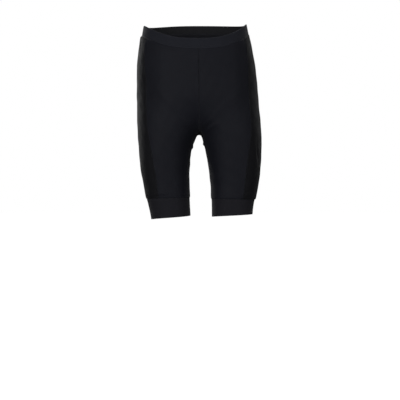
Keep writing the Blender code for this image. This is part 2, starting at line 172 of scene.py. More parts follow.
# The large soft folds that the solids have too: ridges, and troughs with a negative rise
FOLDS = named_rows(
    "middle direction half_length half_width rise",
    ((-0.014, -0.004, -0.342), (0.1, 1.0, 0.10), 0.030, 0.0050, 0.0030),
    ((0.019, -0.002, -0.333), (-0.1, 1.0, 0.08), 0.026, 0.0045, 0.0034),
    ((-0.012, 0.030, -0.356), (0.2, 1.0, 0.25), 0.030, 0.0060, 0.0014),
    ((0.024, 0.034, -0.352), (-0.2, 1.0, 0.30), 0.028, 0.0060, 0.0016),
    ((-0.076, 0.122, -0.318), (1.0, 0.2, -0.10), 0.036, 0.0085, -0.0020),
    ((0.082, 0.120, -0.322), (1.0, -0.2, 0.14), 0.032, 0.0080, -0.0018),
    ((-0.060, 0.104, -0.338), (1.0, 0.2, -0.25), 0.026, 0.0070, 0.0012),
    ((0.070, 0.104, -0.344), (1.0, -0.2, 0.20), 0.030, 0.0075, 0.0014),
)

# Finer creases, placed one by one. Around is in degrees from the outer side, to the back or, negative,
# to the front. Slant is in degrees up from level. Bow is how far the middle sags aside, as a share
# of the length.
CREASES = named_rows(
    "half height around slant half_length half_width rise bow",
    ("right", -0.272, -116, 34, 0.036, 0.0055, 0.0008, 0.12),
    ("right", -0.297, -131, 22, 0.028, 0.0045, 0.0014, -0.10),
    ("right", -0.322, -146, 48, 0.026, 0.0050, 0.0013, 0.15),
    ("left", -0.268, -119, 41, 0.030, 0.0050, 0.0007, -0.12),
    ("left", -0.300, -128, 27, 0.034, 0.0048, 0.0014, 0.10),
    ("left", -0.331, -150, 40, 0.024, 0.0042, 0.0011, 0.14),
    ("right", -0.215, -92, 52, 0.060, 0.0100, 0.0007, 0.08),
    ("left", -0.228, -97, 47, 0.052, 0.0110, 0.0007, -0.06),
    ("right", -0.362, -168, 76, 0.030, 0.0055, -0.0011, 0.08),
    ("right", -0.405, 172, 64, 0.026, 0.0060, 0.0010, -0.10),
    ("left", -0.372, 170, 80, 0.028, 0.0050, -0.0010, 0.10),
    ("left", -0.418, -171, 66, 0.024, 0.0058, 0.0010, 0.08),
    ("right", -0.318, 112, -8, 0.034, 0.0065, 0.0018, 0.15),
    ("right", -0.336, 96, -14, 0.026, 0.0050, -0.0013, 0.10),
    ("right", -0.352, 134, 16, 0.022, 0.0048, 0.0013, -0.10),
    ("left", -0.322, 108, -4, 0.038, 0.0060, 0.0019, -0.12),
    ("left", -0.343, 124, 10, 0.024, 0.0052, 0.0014, 0.10),
    ("left", -0.334, 88, -18, 0.022, 0.0046, -0.0011, 0.08),
    ("right", -0.205, 128, -42, 0.045, 0.0090, 0.0010, 0.10),
    ("left", -0.195, 132, -36, 0.040, 0.0095, 0.0010, -0.08),
    ("right", -0.060, -20, 78, 0.016, 0.0050, 0.0010, 0.05),
    ("right", -0.058, 14, -82, 0.013, 0.0042, 0.0008, -0.05),
    ("left", -0.052, -8, 84, 0.015, 0.0046, 0.0008, 0.05),
    ("left", -0.056, 24, -76, 0.014, 0.0050, 0.0008, -0.05),
    ("right", -0.470, 60, 6, 0.022, 0.0040, 0.0011, 0.06),
    ("right", -0.464, 150, -10, 0.020, 0.0042, 0.0010, 0.10),
    ("right", -0.473, -74, -6, 0.020, 0.0038, 0.0008, -0.06),
    ("left", -0.472, 40, -7, 0.024, 0.0038, 0.0011, 0.08),
    ("left", -0.466, 138, 9, 0.020, 0.0045, 0.0010, -0.08),
    ("left", -0.474, -60, 5, 0.018, 0.0036, 0.0008, 0.06),
)
CREASE_DEPTH_REACH = 0.030
TROUGH_SHARE = 0.45
TROUGH_OFFSET = 1.7

# Slow waves in the stretched cloth: how far they turn across each axis in a metre, and their rise
WAVES = named_rows(
    "turns start rise",
    ((19.0, 11.0, 24.0), 0.3, 0.00012),
    ((-26.0, 8.0, 17.0), 1.9, 0.00010),
    ((12.0, -31.0, 21.0), 4.1, 0.00010),
    ((35.0, 19.0, -14.0), 2.6, 0.00006),
)

# Each seam stands up as a low flat ridge, with a groove at its line and small uneven puckers beside
# it, and the cloth is paler along it
SEAM_HALF_WIDTH = 0.0032
SEAM_RISE = 0.00036
SEAM_GROOVE = 0.00040
SEAM_GROOVE_HALF_WIDTH = 0.0006
SEAM_GAP = 0.0001
PUCKER_RISE = 0.00028
PUCKER_REACH = 0.0075
PUCKER_LENGTHS = (0.0063, 0.0089, 0.0137)
PUCKER_SHIFT = 900
PALE_EDGE_REACH = 0.005

# Spacing of the rings that shape the cloth, and of the finer ones drawn between them. A ring's
# height turns from its ends to the side by a power of a sine, which is less near the fork.
TRUNK_RINGS = (0.0, 0.003, 0.009, 0.020, 0.036, 0.054, 0.072, 0.090, 0.108, 0.126,
               0.144, 0.162, 0.180, 0.198, 0.215, 0.231, 0.246, 0.259, 0.270)
THIGH_RINGS = (0.0, 0.006, 0.013, 0.020, 0.026, 0.032, 0.038, 0.044, 0.051, 0.062,
               0.078, 0.096, 0.114, 0.132, 0.150, 0.166, 0.177, 0.183, 0.186)
RING_POINTS = 241
RING_POWER = 2
FORK_POWER_DROP = 0.9
FORK_POWER_REACH = 0.25
RELAXES_WITHIN = 0.45
RELAXING_STEPS = 40
SETTLING_STEPS = 3
BISECTIONS = 26
FARTHEST = 0.25
MIDDLE_FARTHEST = 0.2
BELOW_HEM = 0.010
FINE_STEP = 0.0025
STEPS_AT_SEAM = (0.0, 0.0003, 0.0007, 0.0012, 0.0018, 0.0025, 0.0033, 0.0042, 0.0053, 0.0068)

KNIT_THICKNESS = 0.0010
WALE = 0.0009
COURSE = 0.0007
YARN_SIZE = 0.0011
LOOP_SWELL = 0.35
LOOP_ROUNDNESS = 0.6
UNEVEN_PALE_EDGE = (0.2, 1.0)
LUMP_DETAIL = 3.0


class SmoothCurve:
    """A natural cubic curve through values, each a number, a point or a row, at rising places."""

    def __init__(self, places, values):
        order = np.argsort(places)
        self.places = np.asarray(places, dtype=float)[order]
        self.values = np.asarray(values, dtype=float)[order]
        count = len(self.places)
        flat = self.values.reshape(count, -1)
        step = np.diff(self.places)
        slope = np.diff(flat, axis=0) / step[:, None]
        matrix = np.eye(count)
        right_side = np.zeros_like(flat)
        for i in range(1, count - 1):
            matrix[i, i - 1:i + 2] = step[i - 1], 2 * (step[i - 1] + step[i]), step[i]
            right_side[i] = 6 * (slope[i] - slope[i - 1])
        self.bend = np.linalg.solve(matrix, right_side).reshape(self.values.shape)

    def __call__(self, at):
        at = np.clip(at, self.places[0], self.places[-1])
        i = np.clip(np.searchsorted(self.places, at) - 1, 0, len(self.places) - 2)
        step = self.places[i + 1] - self.places[i]
        b = (at - self.places[i]) / step
        for _ in range(self.values.ndim - 1):
            step, b = step[..., None], b[..., None]
        a = 1 - b
        curve = (a ** 3 - a) * self.bend[i] + (b ** 3 - b) * self.bend[i + 1]
        return a * self.values[i] + b * self.values[i + 1] + curve * step ** 2 / 6


def column(table, name):
    return SmoothCurve([row.height for row in table], [getattr(row, name) for row in table])


side_at = {half: column(SIDES, half) for half in HALVES}
inner_at = {half: column(THIGHS, half + "_inner") for half in HALVES}
centre_at = column(TRUNK, "centre")
trunk_front_at = column(TRUNK, "front")
trunk_back_at = column(TRUNK, "back")
thigh_front_at = column(THIGHS, "front")
thigh_back_at = column(THIGHS, "back")
middle_at = column(MIDDLE, "depth")


def smooth_step(value, low, high):
    t = np.clip((value - low) / (high - low), 0.0, 1.0)
    return t * t * (3 - 2 * t)


def smooth_union(a, b, radius):
    """The nearer of two forms, with the crease between them rounded."""
    near = np.clip(radius - np.abs(a - b), 0.0, None) / radius
    return np.minimum(a, b) - near * near * radius / 4


def outside_by(reach, ratio):
    """How far a point at that reach lies outside a form that it exceeds by that ratio."""
    return reach * (1 - 1 / np.maximum(ratio, 1e-6))


def form(points):
    """Distance outside the worn form, negative inside, near enough to true close to the surface."""
    x, y, z = points[..., 0], points[..., 1], points[..., 2]
    centre, middle = centre_at(z), middle_at(z)
    across, along = x - centre, y - middle

    half_width = np.where(across < 0, centre - side_at["right"](z), side_at["left"](z) - centre)
    half_depth = np.where(along < 0, middle - trunk_front_at(z), trunk_back_at(z) - middle)
    under = np.clip(TRUNK_ROUNDS_UNDER_FROM - z, 0.0, None)
    full_drop = TRUNK_ROUNDS_UNDER_FROM - TRUNK_BOTTOM
    ratio = (np.abs(across / half_width) ** SQUARENESS + np.abs(along / half_depth) ** SQUARENESS
             + (under / full_drop) ** SQUARENESS) ** (1 / SQUARENESS)
    trunk = outside_by(np.sqrt(across ** 2 + along ** 2 + under ** 2), ratio)

    thighs = []
    for half in HALVES:
        outer, inner = side_at[half](z), inner_at[half](z)
        from_axis = x - (outer + inner) / 2
        half_depth = np.where(along < 0, middle - thigh_front_at(z), thigh_back_at(z) - middle)
        ratio = (np.abs(from_axis / ((outer - inner) / 2)) ** SQUARENESS
                 + np.abs(along / half_depth) ** SQUARENESS) ** (1 / SQUARENESS)
        thighs.append(outside_by(np.hypot(from_axis, along), ratio))
    both_thighs = smooth_union(thighs[0], thighs[1], FORK_BLEND)

    away_from_fork = smooth_step(np.abs(along), *FORK_TO_GROIN)
    radius = FORK_BLEND + (GROIN_BLEND - FORK_BLEND) * away_from_fork
    at_side = smooth_step(np.abs(across), *GROIN_TO_HIP)
    return smooth_union(both_thighs, trunk, radius + (OUTER_BLEND - radius) * at_side)


def way_out(place_at, farthest):
    """Where each way that starts inside the form leaves it, or its end where it doesn't."""
    low, high = 0 * farthest, farthest
    for _ in range(BISECTIONS):
        middle = (low + high) / 2
        inside = form(place_at(middle)) < 0
        low, high = np.where(inside, middle, low), np.where(inside, high, middle)
    return place_at(high)


def crossings(starts, rays, farthest):
    """Where rays from inside the form leave it."""
    farthest = np.broadcast_to(farthest, starts.shape[:-1])
    return way_out(lambda distance: starts + rays * distance[..., None], farthest)


def slope_at(points):
    step = 0.0004
    rises = [form(points + step * axis) - form(points - step * axis) for axis in np.eye(3)]
    return np.stack(rises, axis=-1) / (2 * step)


def settled(points):
    """The nearest points on the form, and its outward unit normals there."""
    slope = slope_at(points)
    points = points - slope * (form(points) / np.sum(slope ** 2, axis=-1))[..., None]
    return points, unit(slope_at(points))


def unit(vectors):
    return vectors / np.linalg.norm(vectors, axis=-1, keepdims=True)


def lengths_along(points):
    """Length from the first point to each point of a line, or of each line in a stack."""
    steps = np.linalg.norm(np.diff(points, axis=-2), axis=-1)
    return np.concatenate([0 * steps[..., :1], np.cumsum(steps, axis=-1)], axis=-1)


def at_length(line, length):
    along = lengths_along(line)
    return np.stack([np.interp(length, along, line[:, i]) for i in range(3)], axis=-1)


def at_height(line, height):
    """How far along a line it comes down to a height."""
    return np.interp(-height, -line[:, 2], lengths_along(line))


def middle_seam(towards):
    """The centre front seam (towards -1) or back seam (towards 1), from above the waist to the fork."""
    heights = np.linspace(SIDES[0].height, TRUNK_ROUNDS_UNDER_FROM, 80)
    starts = np.stack([centre_at(heights), middle_at(heights), heights], axis=1)
    upper = crossings(starts, np.tile([0.0, towards, 0.0], (len(heights), 1)), MIDDLE_FARTHEST)

    angles = np.linspace(0, math.pi / 2, 120)[1:]
    depth = middle_at(TRUNK_ROUNDS_UNDER_FROM)

    def under(distance):
        z = TRUNK_ROUNDS_UNDER_FROM - distance * np.sin(angles)
        return np.stack([centre_at(z), depth + towards * distance * np.cos(angles), z], axis=1)

    return np.concatenate([upper, way_out(under, np.full(len(angles), MIDDLE_FARTHEST))])


def axis_at(half, heights):
    """The middle of one half's sections, from which its rings are drawn."""
    sign = HALVES[half]
    gap = sign * (inner_at[half](heights) - centre_at(heights))
    open_gap = (gap + np.hypot(gap, AXIS_ROUNDING)) / 2
    x = (side_at[half](heights) + centre_at(heights) + sign * open_gap) / 2
    return np.stack([x, middle_at(heights), heights], axis=-1)


def inner_leg_seam(half, fork):
    """From the fork down the inside of one leg."""
    lowest = min(level.front for level in LEVELS[half][LEG_SEAM:]) - BELOW_HEM
    heights = fork[2] - np.linspace(0, 1, 160) ** 2 * (fork[2] - lowest)
    starts = axis_at(half, heights)
    rays = np.tile([-HALVES[half], 0.0, 0.0], (len(heights), 1))
    points = crossings(starts, rays, HALVES[half] * (starts[:, 0] - centre_at(heights)))
    points[0] = fork
    return points


class Half:
    """One half of the garment. A level runs from 0 at the waist edge to 4 at the hem, as in LEVELS."""

    def __init__(self, half):
        self.name = half
        self.sign = HALVES[half]
        self.side_heights = [level.side for level in LEVELS[half]]
        self.front_seam = middle_seam(-1.0)
        self.back_seam = middle_seam(1.0)
        self.inner_seam = inner_leg_seam(half, self.front_seam[-1])

    def seam_points(self, seam, name, levels):
        """Points of a middle seam at levels from the waist edge to the fork."""
        waist = [at_height(seam, getattr(LEVELS[self.name][i], name)) for i in (WAIST_EDGE, WAIST_SEAM)]
        lengths = waist + [lengths_along(seam)[-1]]
        return at_length(seam, np.interp(levels, (WAIST_EDGE, WAIST_SEAM, FORK), lengths))

    def ends(self, levels):
        """Where each ring starts and ends."""
        first = self.seam_points(self.front_seam, "front", levels)
        last = self.seam_points(self.back_seam, "back", levels)
        lower = LEVELS[self.name][LEG_SEAM:]
        inner = [0.0] + [at_height(self.inner_seam, level.front) for level in lower]
        below = at_length(self.inner_seam, np.interp(levels, (FORK, LEG_SEAM, HEM), inner))
        on_leg = levels[:, None] >= FORK
        return np.where(on_leg, below, first), np.where(on_leg, below, last)

    def side_height(self, levels):
        return np.interp(levels, range(len(self.side_heights)), self.side_heights)

    def rings(self, levels):
        """A ring of points for each level, from its front end round the outside to its back end."""
        turns = np.linspace(0, 1, RING_POINTS)
        first, last = self.ends(levels)
        side = self.side_height(levels)[:, None]
        end_height = np.where(turns < 0.5, first[:, 2:], last[:, 2:])
        near_fork = np.exp(-((levels[:, None] - FORK) / FORK_POWER_REACH) ** 2)
        power = RING_POWER - FORK_POWER_DROP * near_fork
        heights = end_height + (side - end_height) * np.sin(math.pi * turns) ** power
        starts = axis_at(self.name, heights)
        end_angles = []
        for end, sense in ((first, -1.0), (last, 1.0)):
            offset = end - axis_at(self.name, end[:, 2])
            angle = sense * np.arctan2(np.abs(offset[:, 1]), self.sign * offset[:, 0])
            end_angles.append(np.where(levels >= FORK, sense * math.pi, angle)[:, None])
        angles = end_angles[0] + (end_angles[1] - end_angles[0]) * turns
        rays = np.stack([self.sign * np.cos(angles), np.sin(angles), 0 * angles], axis=-1)
        inwards = np.maximum(-self.sign * rays[..., 0], 1e-6)
        to_centre = np.abs(starts[..., 0] - centre_at(heights)) / inwards
        points = crossings(starts, rays, np.minimum(to_centre, FARTHEST))
        side_lengths = [np.interp(0.0, *pair) for pair in zip(angles, lengths_along(points))]
        return points, np.array(side_lengths)

    def patch(self, levels, start, end, shares):
        """Points of the cloth between two upright seams, and how far round from the side each is."""
        rings, side_lengths = self.rings(levels)
        along = lengths_along(rings)
        seams = {"front": 0 * side_lengths, "back": along[:, -1]}
        seams["front_side"] = side_lengths - np.interp(levels, SIDE_PANEL_LEVELS, SIDE_PANEL_FRONTS)
        seams["back_side"] = side_lengths + np.interp(levels, SIDE_PANEL_LEVELS, SIDE_PANEL_BACKS)
        wanted = seams[start][:, None] * (1 - shares) + seams[end][:, None] * shares
        grid = np.array([at_length(ring, lengths) for ring, lengths in zip(rings, wanted)])
        return grid, np.abs(wanted - side_lengths[:, None]) / (along[:, -1:] / 2)

    def swell(self, levels, from_side):
        """How far the knit stands out next to the gripping bands."""
        at_side = np.cos(from_side * math.pi / 2) ** 2
        total = 0 * at_side
        heights = self.side_height(levels)
        for table, seam in ((WAIST_SWELL, WAIST_SEAM), (LEG_SWELL, LEG_SEAM)):
            swell = table[self.name]
            distance = np.abs(heights - self.side_heights[seam])
            shape = (1 - np.exp(-distance / SWELL_RISES_IN)) * np.exp(-(distance / swell.reach) ** 2)
            total += shape[:, None] * (swell.at_middle + (swell.at_side - swell.at_middle) * at_side)
        return total


def levels_in(stretch, spacing):
    return stretch + np.array(spacing) / spacing[-1]


def relaxed(grid, levels):
    """The grid with its points near the fork spread evenly over the form, and its edges kept."""
    above, below = np.diff(levels)[:-1], np.diff(levels)[1:]
    share = (below / (above + below))[:, None, None]
    near_fork = np.exp(-((levels[1:-1] - FORK) / RELAXES_WITHIN) ** 2)[:, None, None]
    for _ in range(RELAXING_STEPS):
        upright = grid[:-2, 1:-1] * share + grid[2:, 1:-1] * (1 - share)
        around = (grid[1:-1, :-2] + grid[1:-1, 2:]) / 2
        grid[1:-1, 1:-1] += near_fork * ((upright + around) / 2 - grid[1:-1, 1:-1])
        grid = settled(grid)[0]
    return grid


def graded(length):
    """Places from 0 to a length, closer together near both ends, where the seams are."""
    near = np.array(STEPS_AT_SEAM)
    count = round((length - 2 * near[-1]) / FINE_STEP)
    middle = np.linspace(near[-1], length - near[-1], count + 1)[1:-1]
    return np.concatenate([near, middle, length - near[::-1]])


def distance_to(points, line):
    """How far each point is from a line of points."""
    nearest = np.full(points.shape[:-1], np.inf)
    for start, end in zip(line[:-1], line[1:]):
        step = end - start
        share = np.clip((points - start) @ step / (step @ step), 0.0, 1.0)
        nearest = np.minimum(nearest, np.linalg.norm(points - start - share[..., None] * step, axis=-1))
    return nearest


def fold_heights(points):
    """How far the large folds lift each point."""
    total = np.zeros(points.shape[:-1])
    for fold in FOLDS:
        direction = np.array(fold.direction) / np.linalg.norm(fold.direction)
        offset = points - np.array(fold.middle)
        along = offset @ direction
        aside = np.linalg.norm(offset - along[..., None] * direction, axis=-1)
        total += fold.rise * np.exp(-(along / fold.half_length) ** 2 - (aside / fold.half_width) ** 2)
    return total


def crease_frame(crease):
    """A crease's middle on the form, the normal there, and the directions along and across it."""
    sign = HALVES[crease.half]
    angle = math.radians(crease.around)
    start = axis_at(crease.half, np.array([crease.height]))
    ray = np.array([[sign * math.cos(angle), math.sin(angle), 0.0]])
    middle, normal = settled(crossings(start, ray, FARTHEST))
    level = sign * unit(np.cross([0.0, 0.0, 1.0], normal[0]))
    upward = sign * np.cross(normal[0], level)
    slant = math.radians(crease.slant)
    along = math.cos(slant) * level + math.sin(slant) * upward
    return middle[0], normal[0], along, np.cross(normal[0], along)


crease_frames = [crease_frame(crease) for crease in CREASES]


def crease_heights(points):
    """How far the finer creases lift each point: soft ridges, each with a shallow trough beside it."""
    total = np.zeros(points.shape[:-1])
    for crease, (middle, normal, along_it, across_it) in zip(CREASES, crease_frames):
        offset = points - middle
        along = offset @ along_it / crease.half_length
        aside = offset @ across_it - crease.bow * crease.half_length * (1 - along ** 2)
        aside /= crease.half_width
        shape = np.exp(-aside ** 2) - TROUGH_SHARE * np.exp(-(aside - TROUGH_OFFSET) ** 2)
        depth = offset @ normal / CREASE_DEPTH_REACH
        total += crease.rise * shape * np.exp(-along ** 2 - depth ** 2)
    return total


def wave_heights(points):
    total = np.zeros(points.shape[:-1])
    for wave in WAVES:
        total += wave.rise * np.sin(2 * math.pi * points @ np.array(wave.turns) + wave.start)
    return total


def uneven_waves(along, lengths, shift):
    """Waves of several lengths together, from -1 to 1."""
    waves = [np.sin(2 * math.pi * along / length + length * shift) for length in lengths]
    return sum(waves) / len(waves)


def seam_heights(distance, lengths):
    """The ridge, groove and puckers of a seam at a distance from its line."""
    ridge = SEAM_RISE * np.exp(-(distance / SEAM_HALF_WIDTH) ** 4)
    groove = SEAM_GROOVE * np.exp(-(distance / SEAM_GROOVE_HALF_WIDTH) ** 2)
    beside = np.exp(-(distance / PUCKER_REACH) ** 2) * (1 - np.exp(-(distance / SEAM_HALF_WIDTH) ** 2))
    return ridge - groove + PUCKER_RISE * beside * uneven_waves(lengths, PUCKER_LENGTHS, PUCKER_SHIFT)


def inset(grid, distance):
    """The grid with its edges moved inwards by a distance, which leaves room at the seams."""
    moved = grid.copy()
    moved[:, 0] += unit(grid[:, 1] - grid[:, 0]) * distance
    moved[:, -1] += unit(grid[:, -2] - grid[:, -1]) * distance
    moved[0] += unit(grid[1] - grid[0]) * distance
    moved[-1] += unit(grid[-2] - grid[-1]) * distance
    return moved


def grid_cells(rows, columns):
    """The row and the column of each cell of a grid."""
    i, j = np.meshgrid(range(rows), range(columns), indexing="ij")
    return i.ravel(), j.ravel()


def new_object(name, data):
    item = bpy.data.objects.new(name, data)
    bpy.context.scene.collection.objects.link(item)
    return item


def mesh_object(name, points, faces, places, materials):
    """A smooth mesh, with the places of its corners on the flat cloth, in metres."""
    data = bpy.data.meshes.new(name)
    data.from_pydata(points.reshape(-1, 3), [], faces.tolist())
    data.uv_layers.new(name="Cloth").data.foreach_set("uv", places.ravel())
    data.shade_smooth()
    for material in materials:
        data.materials.append(material)
    return new_object(name, data)


def cloth_object(name, points, places, flip, materials, closed_round=False, closed_over=False):
    """A mesh through a grid of points. Places are the points' own on the flat cloth, in metres."""
    rows, columns = points.shape[:2]
    i, j = grid_cells(rows - (not closed_over), columns - (not closed_round))
    corners = [(i, j), (i + 1, j), (i + 1, j + 1), (i, j + 1)]
    if flip:
        corners.reverse()
    faces = np.stack([(a % rows) * columns + b % columns for a, b in corners], axis=1)
    corner_places = np.stack([places[a, b] for a, b in corners], axis=1)
    return mesh_object(name, points, faces, corner_places, materials)


def note_on(piece, name, values):
    """Keeps a number for each point of a mesh, for its material to read."""
    piece.data.attributes.new(name, "FLOAT", "POINT").data.foreach_set("value", values.ravel())


class Nodes:
    """Short calls that add nodes to a material or to the surround, and join them."""

    def __init__(self, owner):
        owner.use_nodes = True
        self.tree = owner.node_tree

    def node(self, kind, inputs=None, **settings):
        node = self.tree.nodes.new("ShaderNode" + kind)
        for name, value in settings.items():
            setattr(node, name, value)
        for name, value in (inputs or {}).items():
            self.feed(node.inputs[name], value)
        return node

    def feed(self, place, value):
        if isinstance(value, bpy.types.NodeSocket):
            self.tree.links.new(value, place)
        else:
            place.default_value = value

    def maths(self, operation, *values):
        return self.node("Math", dict(enumerate(values)), operation=operation).outputs[0]

    def ranged(self, value, low, high, start=0.0, end=1.0):
        """A value between start and end spread between two others."""
        inputs = {"Value": value, "From Min": start, "From Max": end, "To Min": low, "To Max": high}
        return self.node("MapRange", inputs).outputs["Result"]


class Shading(Nodes):
    """A material, with the values that are the same all over it set on its shader."""

    def __init__(self, name, values):
        self.material = bpy.data.materials.new(name)
        super().__init__(self.material)
        self.shader = self.tree.nodes["Principled BSDF"]
        for value_name, value in values.items():
            self.shader.inputs[value_name].default_value = value

    def noise(self, size, detail=2.0):
        """Noise from 0 to 1 with spots about as large as the size."""
        inputs = {"Scale": 1 / size, "Detail": detail}
        inputs["Vector"] = self.node("TexCoord").outputs["Object"]
        return self.node("TexNoise", inputs).outputs["Fac"]

    def varied(self, size, low, high, *others):
        """Noise spread between two values, times any others."""
        value = self.ranged(self.noise(size), low, high)
        for other in others:
            value = self.maths("MULTIPLY", value, other)
        return value

    def scaled(self, colour, amount):
        """A colour made lighter or darker by a changing amount."""
        inputs = {0: colour[:3], "Scale": amount}
        return self.node("VectorMath", inputs, operation="SCALE").outputs["Vector"]

    def places(self):
        """How far across and along the flat cloth a point is, in metres."""
        uv = self.node("UVMap", uv_map="Cloth").outputs["UV"]
        parts = self.node("SeparateXYZ", {0: uv})
        return parts.outputs["X"], parts.outputs["Y"]

    def bump(self, height, depth, strength, under=None):
        inputs = {"Height": height, "Distance": depth, "Strength": strength}
        if under is not None:
            inputs["Normal"] = under
        return self.node("Bump", inputs).outputs["Normal"]

    def finished(self, colour, tone, roughness, relief):
        """The material, once its colour, roughness and relief reach its shader."""
        values = {"Base Color": self.scaled(colour, tone), "Roughness": roughness, "Normal": relief}
        for name, value in values.items():
            self.feed(self.shader.inputs[name], value)
        return self.material


def knit_height(shading, wale, course):
    """Columns of V-shaped loops, as fine knit shows them: 1 at a loop's crown and 0 in the grooves."""
    across, along = shading.places()
    turn = shading.maths("FRACT", shading.maths("DIVIDE", across, wale))
    from_middle = shading.maths("ABSOLUTE", shading.maths("SUBTRACT", turn, 0.5))
    crown = shading.maths("SUBTRACT", 1.0, shading.maths("MULTIPLY", from_middle, 2.0))
    rows = shading.maths("ADD", shading.maths("DIVIDE", along, course), crown)
    loops = shading.maths("SINE", shading.maths("MULTIPLY", rows, 2 * math.pi))
    lobe = shading.maths("MULTIPLY_ADD", loops, LOOP_SWELL, 1 - LOOP_SWELL)
    return shading.maths("MULTIPLY", shading.maths("POWER", crown, LOOP_ROUNDNESS), lobe)


# A knit's finish. Patches and lumps are sizes in metres, pairs are ranges of tone, and a bump is its
# depth and strength. The loops' range is painted shade in the loops' grooves and a painted highlight
# on their crowns.
Knit = namedtuple("Knit", "specular sheen sheen_roughness wale patch patches yarns loops "
                  "wear_patch wear dull_patch dullness rubbed_dullness loop_bump lump lump_bump")
PANEL_KNIT = Knit(
    specular=0.08, sheen=0.02, sheen_roughness=0.45, wale=WALE,
    patch=0.055, patches=(0.91, 1.09), yarns=(0.90, 1.10), loops=(0.74, 1.15),
    wear_patch=0.004, wear=1.22, dull_patch=0.018, dullness=0.05, rubbed_dullness=0.08,
    loop_bump=(0.00014, 0.90), lump=0.007, lump_bump=(0.00020, 0.50))


def knit_material(name, colour, roughness, knit):
    """Stretch knit: V-shaped loops, with painted shade in their grooves and a painted highlight on
    their crowns, slow and fine changes of tone, and paler cloth at edges.
    """
    shading = Shading(name, {"Specular IOR Level": knit.specular, "Sheen Weight": knit.sheen,
                             "Sheen Roughness": knit.sheen_roughness})
    loops = knit_height(shading, knit.wale, COURSE)
    near_seam = shading.node("Attribute", attribute_name="near_seam").outputs["Fac"]
    paler_edge = shading.varied(knit.wear_patch, *UNEVEN_PALE_EDGE, near_seam)
    # Painted shade and highlight: the loops' height darkens the colour in their grooves and lightens it
    # on their crowns
    tone = shading.varied(knit.patch, *knit.patches, shading.varied(YARN_SIZE, *knit.yarns),
                          shading.ranged(loops, *knit.loops), shading.ranged(paler_edge, 1.0, knit.wear))
    dullness = shading.varied(knit.dull_patch, roughness - knit.dullness, roughness + knit.dullness)
    dullness = shading.maths("MULTIPLY_ADD", paler_edge, knit.rubbed_dullness, dullness)
    fine = shading.bump(loops, *knit.loop_bump)
    soft = shading.bump(shading.noise(knit.lump, LUMP_DETAIL), *knit.lump_bump, fine)
    return shading.finished(colour, tone, dullness, soft)


Cloth = namedtuple("Cloth", "levels lines normals face piece")


def knit_panel(half, kind, start, end, columns, width, material):
    """One panel as a thin shell, from the waist seam to the leg seam and between two upright seams."""
    levels = np.concatenate([levels_in(WAIST_SEAM, TRUNK_RINGS)[:-1], levels_in(FORK, THIGH_RINGS)])
    shares = np.linspace(0, 1, columns + 1)
    coarse, from_side = half.patch(levels, start, end, shares)
    coarse = relaxed(settled(coarse)[0], levels)

    down = graded(TRUNK_RINGS[-1] + THIGH_RINGS[-1])
    fine_levels = np.interp(down, (0.0, TRUNK_RINGS[-1], down[-1]), (WAIST_SEAM, FORK, LEG_SEAM))
    fine_levels[np.argmin(np.abs(fine_levels - FORK))] = FORK
    across = graded(width)
    grid = SmoothCurve(levels, coarse)(fine_levels)
    from_side = SmoothCurve(levels, from_side)(fine_levels)
    first, last = half.ends(fine_levels)
    if start == "front":
        grid[:, 0] = first
    if end == "back":
        grid[:, -1] = last
    grid = SmoothCurve(shares, grid.swapaxes(0, 1))(across / width).swapaxes(0, 1)
    from_side = SmoothCurve(shares, from_side.T)(across / width).T
    for _ in range(SETTLING_STEPS):
        grid, normals = settled(grid)

    lines = {start: grid[:, 0], end: grid[:, -1], "waist": grid[0], "leg": grid[-1]}
    distances = [distance_to(grid, line) for line in lines.values()]
    nearest = np.min(distances, axis=0)
    down_seam = lengths_along(grid.swapaxes(0, 1)).T
    round_seam = lengths_along(grid)
    upright_nearer = np.minimum(distances[0], distances[1]) < np.minimum(distances[2], distances[3])
    lift = half.swell(fine_levels, from_side) + fold_heights(grid) + crease_heights(grid)
    lift += wave_heights(grid) + seam_heights(nearest, np.where(upright_nearer, down_seam, round_seam))
    face = inset(grid, SEAM_GAP / 2) + normals * lift[..., None]

    name = f"{kind}_{half.name}"
    places = np.stack(np.meshgrid(across, -down), axis=-1)
    piece = cloth_object(name + "_knit", face, places, half.sign < 0, [material])
    note_on(piece, "near_seam", np.exp(-(nearest / PALE_EDGE_REACH) ** 2))
    shell = piece.modifiers.new("Thickness", "SOLIDIFY")
    shell.thickness = KNIT_THICKNESS
    shell.offset = -1.0
    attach(piece, "root")
    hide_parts(name)
    return Cloth(fine_levels, lines, normals, face, piece)


FRONT_WIDTH = 0.135
FRONT_KNIT = (0.0085, 0.0090, 0.0130)
front_knit = knit_material("black_stretch_knit", FRONT_KNIT, 0.58, PANEL_KNIT)
halves = [Half("left"), Half("right")]
panels = {}
for half in halves:
    panel = knit_panel(half, "front_panel", "front", "front_side", 8, FRONT_WIDTH, front_knit)
    panels["front", half.name] = panel

# Side panels
# Two strips of the same knit over the hips and outer thighs, which let the maker shape the hip.
# They have a slightly duller face, and are sewn flat to the panels on both sides. Their darker colour
# is partly the knit's own and partly painted shade, where the hips and outer thighs turn away from the
# front lights.
SIDE_WIDTH = 0.175
# Darker than the fronts' colour: partly the knit's own black, partly painted shade where the hips turn
# away from the front lights
SIDE_KNIT_WITH_PAINTED_SHADE = (0.0063, 0.0064, 0.0079)
side_knit_with_painted_shade = knit_material("black_side_knit_with_painted_shade", SIDE_KNIT_WITH_PAINTED_SHADE, 0.64, PANEL_KNIT)
for half in halves:
    panel = knit_panel(half, "side_panel", "front_side", "back_side", 8, SIDE_WIDTH, side_knit_with_painted_shade)
    panels["side", half.name] = panel

# Back panels
# Two pieces of the front's knit from the side seams to the centre back, longer over the seat. They
# meet in the centre back seam, and below the fork they meet the fronts in the inner leg seams.
BACK_WIDTH = 0.145
for half in halves:
    panel = knit_panel(half, "back_panel", "back_side", "back", 9, BACK_WIDTH, front_knit)
    panels["back", half.name] = panel

